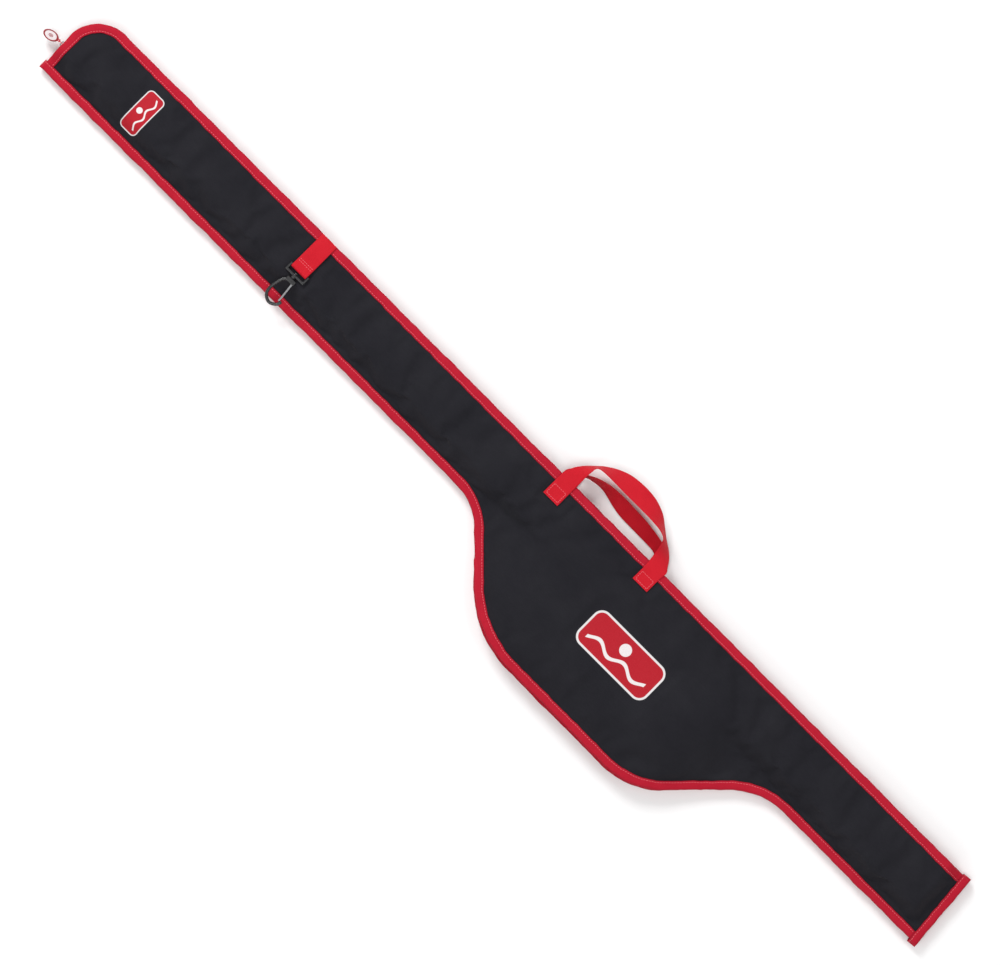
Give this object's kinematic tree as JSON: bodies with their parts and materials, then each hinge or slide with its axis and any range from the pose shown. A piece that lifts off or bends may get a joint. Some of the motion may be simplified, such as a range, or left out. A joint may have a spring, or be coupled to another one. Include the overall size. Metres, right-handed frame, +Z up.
{
  "type": "rod case",
  "caption": "Long padded soft case for fishing rods with a reel pouch, red edge binding, side zip, two carry handles and a snap hook on a strap.",
  "frame": {"origin": "middle of the case's footprint, on the ground it lies on", "axes": "+X from the tip end to the butt end, +Y towards the zip side and the carry handles, -Y into the reel pouch, +Z up out of the front panel"},
  "size_m": [1.5834, 0.2808, 0.0376],
  "materials": {
    "black_fabric": "matte",
    "padding_foam": "matte",
    "lining": "matte",
    "red_tape": "matte",
    "red_webbing": "matte",
    "zip_tape": "matte",
    "zip_coil": "satin",
    "zip_metal": "satin",
    "red_link": "satin",
    "pull_badge": "satin",
    "hook_plastic": "satin",
    "gate_steel": "satin"
  },
  "bodies": {
    "case_body": {"back_fabric": "black_fabric", "back_foam": "padding_foam", "back_lining": "lining", "front_fabric": "black_fabric", "front_foam_tip": "padding_foam", "front_foam_pouch": "padding_foam", "front_foam_neck": "padding_foam", "front_foam_butt": "padding_foam", "front_foam_end": "padding_foam", "front_lining": "lining", "back_edge_binding": "red_tape", "front_edge_binding_butt": "red_tape", "front_edge_binding_tip": "red_tape", "seam_binding_tip": "red_tape", "seam_binding_butt": "red_tape", "pouch_back_binding": "red_tape", "pouch_front_binding": "red_tape", "butt_end_binding": "red_tape", "pouch_gusset": "black_fabric", "back_zip_tape": "zip_tape", "back_zip_coil": "zip_coil", "front_zip_tape_butt": "zip_tape", "front_zip_coil_butt": "zip_coil", "zip_end_stop": "zip_metal", "back_handle_tab_tip": "red_webbing", "back_handle_tab_butt": "red_webbing"},
    "front_cover": {"cover_fabric": "black_fabric", "cover_foam": "padding_foam", "cover_lining": "lining", "cover_edge_binding": "red_tape", "cover_zip_tape": "zip_tape", "cover_zip_coil": "zip_coil", "front_handle_tab_tip": "red_webbing", "front_handle_tab_butt": "red_webbing", "hook_strap_tab": "red_webbing"},
    "front_handle": {"front_handle": "red_webbing"},
    "back_handle": {"back_handle": "red_webbing"},
    "hook_strap": {"hook_strap": "red_webbing"},
    "hook_eye": {"hook_eye": "hook_plastic"},
    "hook_body": {"hook_body": "hook_plastic"},
    "hook_gate": {"hook_gate": "gate_steel"},
    "zip_slider": {"zip_slider": "zip_metal"},
    "pull_link": {"pull_link": "red_link"},
    "pull_tab": {"pull_tab": "pull_badge"}
  },
  "joints": [
    {"name": "cover_fold", "type": "hinge", "parent": "case_body", "child": "front_cover", "pos_m": [-0.12255, 0.01242, 0.0273], "axis": [1, 0, 0], "range_deg": [0, 105]},
    {"name": "front_handle_swing", "type": "hinge", "parent": "front_cover", "child": "front_handle", "pos_m": [0.14895, 0.08171, 0.02905], "axis": [1, 0, 0], "range_deg": [-20, 170]},
    {"name": "back_handle_swing", "type": "hinge", "parent": "case_body", "child": "back_handle", "pos_m": [0.14895, 0.08171, 0.00165], "axis": [1, 0, 0], "range_deg": [0, 45]},
    {"name": "hook_strap_lift", "type": "hinge", "parent": "front_cover", "child": "hook_strap", "pos_m": [-0.35155, 0.06792, 0.02915], "axis": [-1, 0, 0], "range_deg": [0, 170]},
    {"name": "hook_eye_hang", "type": "hinge", "parent": "hook_strap", "child": "hook_eye", "pos_m": [-0.35155, 0.02671, 0.0295], "axis": [-1, 0, 0], "range_deg": [0, 95]},
    {"name": "hook_swivel", "type": "hinge", "parent": "hook_eye", "child": "hook_body", "pos_m": [-0.35155, 0.01641, 0.0295], "axis": [0, 1, 0], "range_deg": [-6, 6]},
    {"name": "hook_gate_spring", "type": "hinge", "parent": "hook_body", "child": "hook_gate", "pos_m": [-0.34655, 0.00982, 0.0295], "axis": [0, 0, -1], "range_deg": [0, 25], "stiffness_Nm_per_rad": 0.02},
    {"name": "zip_slide", "type": "slide", "parent": "case_body", "child": "zip_slider", "axis": [0, 1, 0], "range_m": [0, 0.01]},
    {"name": "pull_link_swing", "type": "hinge", "parent": "zip_slider", "child": "pull_link", "pos_m": [-0.76345, 0.01691, 0.01355], "axis": [0, 0, 1], "range_deg": [-60, 45]},
    {"name": "pull_tab_swing", "type": "hinge", "parent": "pull_link", "child": "pull_tab", "pos_m": [-0.76995, 0.01691, 0.01355], "axis": [0, 0, 1], "range_deg": [-20, 20]}
  ],
  "couplings": [
    {"joint": "hook_eye_hang", "follows": "cover_fold", "ratio": 0.85}
  ]
}
